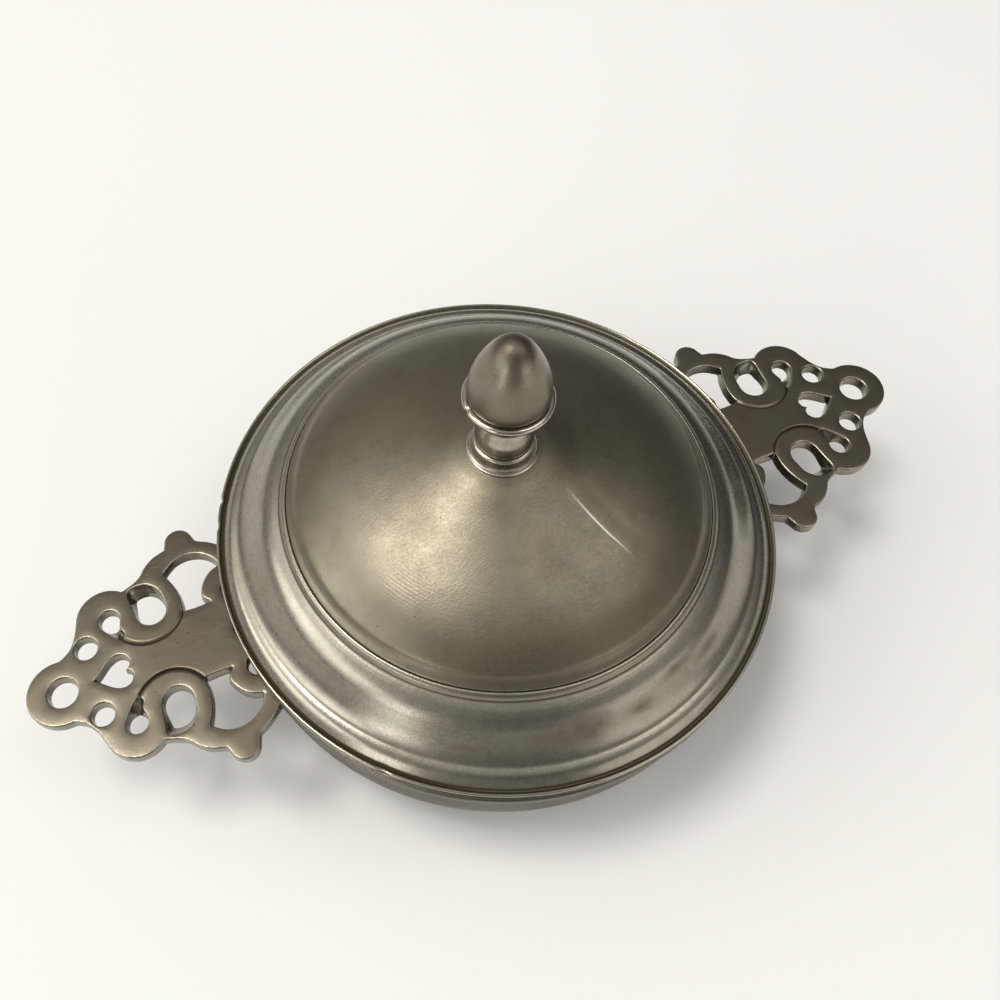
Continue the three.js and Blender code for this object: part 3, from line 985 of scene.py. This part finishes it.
def distance_to(tree, place, centre):
    """Distance in the plan view from a place in millimetres."""
    flat = vector_math(tree, "MULTIPLY", {0: place, 1: (1, 1, 0)})
    return vector_math(tree, "DISTANCE", {0: flat, 1: (centre[0], centre[1], 0)})


def lid_marks(tree, place):
    """Height of the ridge and of the turning lines, where the lid is rubbed, and where a highlight is
    painted along the ridge.
    """
    ridge_at = (*(lid_place(*RIDGE_PLACE) - LID_AXIS), 0)
    values = {"Vector": place, "Center": ridge_at, "Angle": math.radians(-RIDGE_TURN)}
    turned_place = add(tree, "ShaderNodeVectorRotate", values, rotation_type="Z_AXIS")
    moved = vector_math(tree, "SUBTRACT", {0: turned_place.outputs[0], 1: ridge_at})
    parts = add(tree, "ShaderNodeSeparateXYZ", {0: moved})
    along, aside = parts.outputs[0], parts.outputs[1]
    bow = times(tree, times(tree, along, along), RIDGE_BOW)
    off = minus(tree, aside, bow)
    steep = soft_span(tree, off, -RIDGE_STEEP, 0.0)
    gentle = soft_span(tree, off, RIDGE_GENTLE, 0.0)
    crest = times(tree, steep, gentle)
    from_middle = calculate(tree, "ABSOLUTE", along)
    ends = soft_span(tree, from_middle, RIDGE_LENGTH / 2, RIDGE_LENGTH / 5)
    height = times(tree, times(tree, crest, ends), RIDGE_HEIGHT)
    # A pale strip along the ridge's crest that fades at its ends: a painted highlight
    beside = calculate(tree, "ABSOLUTE", plus(tree, off, RIDGE_STEEP / 4))
    highlight_ends = soft_span(tree, from_middle, RIDGE_LENGTH / 2.3, RIDGE_LENGTH / 12)
    painted_ridge_highlight = times(tree, soft_span(tree, beside, RIDGE_STEEP / 2.2, 0.03), highlight_ends)

    radius = distance_to(tree, place, (0, 0))
    wave = calculate(tree, "SINE", times(tree, radius, 2 * math.pi / LINES_STEP))
    lines_at = lid_place(*LINES_PLACE) - LID_AXIS
    near = soft_span(tree, distance_to(tree, place, lines_at), LINES_REACH, 0.0)
    lines = times(tree, times(tree, wave, near), LINES_HEIGHT)
    height = plus(tree, height, lines)
    rubbed = span(tree, radius, SHOULDER_RADIUS - 2.2, SHOULDER_RADIUS - 0.6)
    return height, rubbed, painted_ridge_highlight


def metal(name, axis, looks, marks_of=None):
    """Old pewter: a grey-brown patina, dark creases, bright worn edges, turning marks and scratches; also
    painted highlights on the ear's walls and the lid's ridge, and painted shade in the rim's groove.
    """
    material = bpy.data.materials.new(name)
    material.use_nodes = True
    tree = material.node_tree
    tree.nodes.clear()
    place = millimetres(tree, axis)
    fold = add(tree, "ShaderNodeAttribute", attribute_name="fold").outputs["Fac"]
    crease = span(tree, fold, -0.12, -0.7)
    # Worn edges, and the ear's walls, whose high fold values paint a highlight on them
    worn_and_painted_highlight = span(tree, fold, 0.15, 0.8)

    patches = grain(tree, place, 0.055, 3.0, 0.6)
    clouds = grain(tree, place, 0.2, 4.0, 0.62)
    fine = grain(tree, place, looks["grain_scale"], 3.0, 0.6)
    rings = grain(tree, ring_vector(tree, place, 2.5, looks["ring_scale"]), 1.0, 3.0, 0.6)
    brushed = brush_strokes(tree, place, looks["brush_turn"])
    pits = pit_marks(tree, place)
    marks = 0.0
    for turn, seed in SCRATCH_TURNS:
        marks = calculate(tree, "MAXIMUM", marks, scratches(tree, place, turn, seed))

    colour = blend_colour(tree, span(tree, patches, 0.35, 0.65), looks["colour"], looks["patina"])
    colour = blend_colour(tree, span(tree, clouds, 0.5, 0.8, 0.0, 0.5), colour, looks["stain"])
    colour = blend_colour(tree, times(tree, worn_and_painted_highlight, 0.5), colour, looks["bright"])
    colour = blend_colour(tree, times(tree, pits, 0.5), colour, looks["oxide"])
    if marks_of:
        relief, rubbed, painted_ridge_highlight = marks_of(tree, place)
        smears = grain(tree, place, 0.3, 4.0, 0.65)
        shine = times(tree, rubbed, span(tree, smears, 0.35, 0.6, 0.52, 0.7))
        colour = blend_colour(tree, shine, colour, looks["bright"])
        # Painted highlight along the dent's ridge
        colour = blend_colour(tree, painted_ridge_highlight, colour, RIDGE_HIGHLIGHT_COLOUR)
        blotch_and_groove_shade = add(tree, "ShaderNodeAttribute", attribute_name="blotch_and_groove_shade").outputs["Fac"]
        blotch_and_groove_shade = plus(tree, blotch_and_groove_shade, span(tree, smears, 0.3, 0.7, -0.3, 0.25))
        # The rim's band drives this oxide colour: partly the groove's oxide and partly painted shade
        oxide_and_groove_shade = span(tree, blotch_and_groove_shade, 0.9, 1.8, 0.0, 0.8)
        blotch_and_groove_shade = soft_span(tree, blotch_and_groove_shade, 0.1, 1.1)
        colour = blend_colour(tree, times(tree, blotch_and_groove_shade, 0.6), colour, looks["stain"])
        colour = blend_colour(tree, oxide_and_groove_shade, colour, looks["oxide"])
    colour = blend_colour(tree, times(tree, crease, looks["crease"]), colour, looks["oxide"])

    rough = span(tree, patches, 0.3, 0.7, *looks["roughness"])
    rough = plus(tree, rough, span(tree, fine, 0.3, 0.7, -0.04, 0.04))
    rough = plus(tree, rough, times(tree, crease, 0.25))
    rough = minus(tree, rough, times(tree, worn_and_painted_highlight, looks["worn_shine"]), clamp=True)
    if marks_of:
        rough = minus(tree, rough, times(tree, rubbed, 0.15))
        rough = plus(tree, rough, times(tree, blotch_and_groove_shade, 0.2), clamp=True)

    height = times(tree, rings, looks["ring_depth"])
    for mark, depth in ((fine, "grain_depth"), (clouds, "cloud_depth"), (brushed, "brush_depth")):
        height = plus(tree, height, times(tree, mark, looks[depth]))
    if marks_of:
        height = times(tree, height, span(tree, rubbed, 0, 1, 1, 0.5))
    height = minus(tree, height, times(tree, marks, looks["scratch_depth"]))
    height = minus(tree, height, times(tree, pits, PIT_DEPTH))
    if marks_of:
        height = plus(tree, height, relief)
    bump = add(tree, "ShaderNodeBump", {"Strength": 1.0, "Distance": METRES, "Height": height})

    shader = add(
        tree,
        "ShaderNodeBsdfPrincipled",
        {"Base Color": colour, "Metallic": 1.0, "Roughness": rough, "Normal": bump.outputs[0]},
    )
    out = add(tree, "ShaderNodeOutputMaterial")
    tree.links.new(shader.outputs[0], out.inputs[0])
    return material


# Colour of the painted highlight along the dent's ridge
RIDGE_HIGHLIGHT_COLOUR = (0.62, 0.59, 0.51, 1)
PIT_DEPTH = 0.03

# Directions of the fine scratches in radians, each with a shift of its pattern
SCRATCH_TURNS = [(0.5, 3), (1.45, 7), (2.5, 11)]

PEWTER = {
    "colour": (0.196, 0.176, 0.132, 1),
    "patina": (0.165, 0.145, 0.105, 1),
    "stain": (0.12, 0.1, 0.068, 1),
    "bright": (0.36, 0.342, 0.288, 1),
    "oxide": (0.05, 0.035, 0.02, 1),
    "crease": 0.9,
    "roughness": (0.37, 0.44),
    "worn_shine": 0.14,
    "grain_scale": 1.3,
    "ring_scale": 1.6,
    "ring_depth": 0.016,
    "grain_depth": 0.01,
    "cloud_depth": 0.02,
    "scratch_depth": 0.009,
    "brush_turn": math.radians(36),
    "brush_depth": 0.028,
}

# A darker copy of the lid's pewter for the whole bowl: painted shade for the shade and dark reflection
# under the lid's rim
BOWL_PEWTER_PAINTED_SHADE = {
    **PEWTER,
    "colour": (0.105, 0.093, 0.069, 1),
    "patina": (0.088, 0.077, 0.055, 1),
    "stain": (0.066, 0.054, 0.037, 1),
    "bright": (0.22, 0.205, 0.168, 1),
}

CAST_PEWTER = {
    **PEWTER,
    "colour": (0.145, 0.128, 0.097, 1),
    "patina": (0.127, 0.11, 0.08, 1),
    "stain": (0.1, 0.081, 0.054, 1),
    "bright": (0.42, 0.395, 0.33, 1),
    "roughness": (0.29, 0.35),
    "worn_shine": 0.05,
    "grain_scale": 1.4,
    "ring_depth": 0.0,
    "grain_depth": 0.007,
    "cloud_depth": 0.012,
    "brush_depth": 0.008,
}

# A darker copy of the cast pewter for the left ear, though both ears are the same casting: painted shade
CAST_PEWTER_PAINTED_SHADE = {
    **CAST_PEWTER,
    "colour": (0.115, 0.1, 0.075, 1),
    "patina": (0.1, 0.085, 0.062, 1),
    "stain": (0.08, 0.065, 0.043, 1),
}

POLISHED_PEWTER = {
    **PEWTER,
    "colour": (0.48, 0.455, 0.385, 1),
    "patina": (0.4, 0.375, 0.31, 1),
    "roughness": (0.15, 0.21),
    "grain_scale": 2.2,
    "grain_depth": 0.01,
    "ring_depth": 0.0,
    "brush_depth": 0.0,
    "cloud_depth": 0.03,
}

FROSTED_PEWTER = {
    **POLISHED_PEWTER,
    "colour": (0.23, 0.21, 0.165, 1),
    "patina": (0.19, 0.17, 0.13, 1),
    "roughness": (0.27, 0.34),
    "grain_scale": 2.6,
    "grain_depth": 0.045,
    "cloud_depth": 0.05,
}

BRASS = {
    **PEWTER,
    "colour": (0.55, 0.42, 0.2, 1),
    "patina": (0.42, 0.31, 0.14, 1),
    "stain": (0.25, 0.17, 0.08, 1),
    "bright": (0.7, 0.56, 0.3, 1),
    "ring_depth": 0.01,
}


def paint(piece, material):
    """Gives a piece one material."""
    piece.data.materials.clear()
    piece.data.materials.append(material)


# Stage and light. Azimuth 0 is in front of the object and 90 to its right.

FLOOR_RADIUS = 6000
FLOOR_COLOUR = (0.775, 0.766, 0.747, 1)
ROOM_BRIGHT = (0.6, 0.592, 0.575, 1)
ROOM_LOW = (0.3, 0.296, 0.288, 1)
ROOM_DIM = (0.07, 0.069, 0.067, 1)
# Dim parts of the room: azimuth and elevation, then the closeness where each starts and where it is full
DIM_PARTS = [((112, 5), 0.45, 1.02), ((-12, 38), 0.8, 1.1)]
WHITE_LAMP = (1.0, 0.985, 0.955)
LAMP_DISTANCE = 3.0
LAMPS_LOOK_AT = (0, 0, 0.06)


def direction(azimuth, elevation):
    """Unit vector towards an azimuth and an elevation in degrees."""
    a, e = math.radians(azimuth), math.radians(elevation)
    return Vector((math.sin(a) * math.cos(e), -math.cos(a) * math.cos(e), math.sin(e)))


def make_floor():
    """Plain pale floor, so wide that its edge is never seen."""
    edge = arc((0, 0), FLOOR_RADIUS, 0, 360, 64)[:-1]
    floor = make_object("floor", [(x, y, 0) for x, y in edge], [tuple(range(len(edge)))])
    material = bpy.data.materials.new("pale_floor")
    material.use_nodes = True
    shader = material.node_tree.nodes["Principled BSDF"]
    shader.inputs["Base Color"].default_value = FLOOR_COLOUR
    shader.inputs["Roughness"].default_value = 0.9
    paint(floor, material)


def add_lamp(name, azimuth, elevation, size, radiance):
    """A soft flat lamp that looks at the object. Size is in metres, and radiance 1 looks white."""
    away = direction(azimuth, elevation)
    lamp = bpy.data.lights.new(name, "AREA")
    lamp.shape = "ELLIPSE"
    lamp.size, lamp.size_y = size
    lamp.energy = radiance * math.pi * math.pi * size[0] * size[1] / 4
    lamp.color = WHITE_LAMP
    holder = bpy.data.objects.new(name, lamp)
    holder.location = Vector(LAMPS_LOOK_AT) + away * LAMP_DISTANCE
    holder.rotation_mode = "QUATERNION"
    holder.rotation_quaternion = away.to_track_quat("Z", "Y")
    bpy.context.scene.collection.objects.link(holder)


def make_room():
    """Soft light that fades towards the horizon, with a dim side and a narrow dim gap in front."""
    world = bpy.data.worlds.new("soft_room")
    world.use_nodes = True
    tree = world.node_tree
    tree.nodes.clear()
    towards = add(tree, "ShaderNodeTexCoord").outputs["Generated"]
    height = add(tree, "ShaderNodeSeparateXYZ", {0: towards}).outputs[2]
    colour = blend_colour(tree, soft_span(tree, height, 0.0, 0.75), ROOM_LOW, ROOM_BRIGHT)
    for side, low, high in DIM_PARTS:
        near = vector_math(tree, "DOT_PRODUCT", {0: towards, 1: tuple(direction(*side))})
        colour = blend_colour(tree, soft_span(tree, near, low, high), colour, ROOM_DIM)
    background = add(tree, "ShaderNodeBackground", {"Color": colour})
    out = add(tree, "ShaderNodeOutputWorld")
    tree.links.new(background.outputs[0], out.inputs[0])
    bpy.context.scene.world = world


def make_light():
    make_room()
    add_lamp("overhead", -119, 68.5, (1.0, 1.0), 17)
    add_lamp("side", -94, 27, (3.2, 1.5), 2.6)
    add_lamp("low side", -56, 12, (0.9, 1.1), 3.4)
    add_lamp("wide side", -120, 42, (2.4, 2.0), 0.9)
    add_lamp("right", 65, 65, (1.5, 1.5), 2.0)
    add_lamp("front", 27, 10, (2.3, 1.3), 1.0)


# Camera, fitted to the photograph: place in millimetres, azimuth, elevation and roll in degrees
CAMERA_PLACE = (-72.49, -119.76, 300.5)
CAMERA_AZIMUTH = -22.45
CAMERA_ELEVATION = 59.89
CAMERA_ROLL = -0.82
CAMERA_LENS = 36.0
CAMERA_SENSOR = 36.0
CAMERA_SHIFT = 0.0805


def make_camera():
    """The photograph's camera."""
    data = bpy.data.cameras.new("camera")
    data.lens = CAMERA_LENS
    data.sensor_width = CAMERA_SENSOR
    data.shift_x = CAMERA_SHIFT
    data.clip_start = 0.01
    back = direction(CAMERA_AZIMUTH, CAMERA_ELEVATION)
    right = direction(CAMERA_AZIMUTH + 90, 0)
    up = back.cross(right)
    roll = math.radians(CAMERA_ROLL)
    rolled_right = right * math.cos(roll) + up * math.sin(roll)
    rolled_up = up * math.cos(roll) - right * math.sin(roll)
    holder = bpy.data.objects.new("camera", data)
    turn = Matrix((rolled_right, rolled_up, back)).transposed()
    holder.matrix_world = Matrix.Translation(Vector(CAMERA_PLACE) * METRES) @ turn.to_4x4()
    bpy.context.scene.collection.objects.link(holder)
    bpy.context.scene.camera = holder


def dress():
    """Makes every piece with its material."""
    painted_shade_pewter_on_bowl = metal("pewter_bowl_painted_shade", BOWL_AXIS, BOWL_PEWTER_PAINTED_SHADE)
    pewter_on_lid = metal("pewter_lid", LID_AXIS, PEWTER, lid_marks)
    cast = metal("cast_pewter", BOWL_AXIS, CAST_PEWTER)
    painted_shade_cast = metal("cast_pewter_painted_shade", BOWL_AXIS, CAST_PEWTER_PAINTED_SHADE)
    polished = metal("polished_pewter", LID_AXIS, POLISHED_PEWTER)
    brass = metal("screw_brass", LID_AXIS, BRASS)
    paint(make_bowl(), painted_shade_pewter_on_bowl)
    paint(make_lid(), pewter_on_lid)
    paint(make_bezel(), pewter_on_lid)
    paint(make_neck(), polished)
    paint(make_acorn(), metal("frosted_pewter", LID_AXIS, FROSTED_PEWTER))
    paint(make_ear("ear_right", "ear_right_casting", EAR_SWING, 21), cast)
    paint(make_ear("ear_left", "ear_left_casting", 180 - EAR_SWING, 34), painted_shade_cast)
    for node in ("finial_screw", "finial_washer"):
        paint(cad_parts[node], brass)


make_camera()
dress()
make_floor()
make_light()
bpy.context.scene.view_settings.view_transform = "Standard"
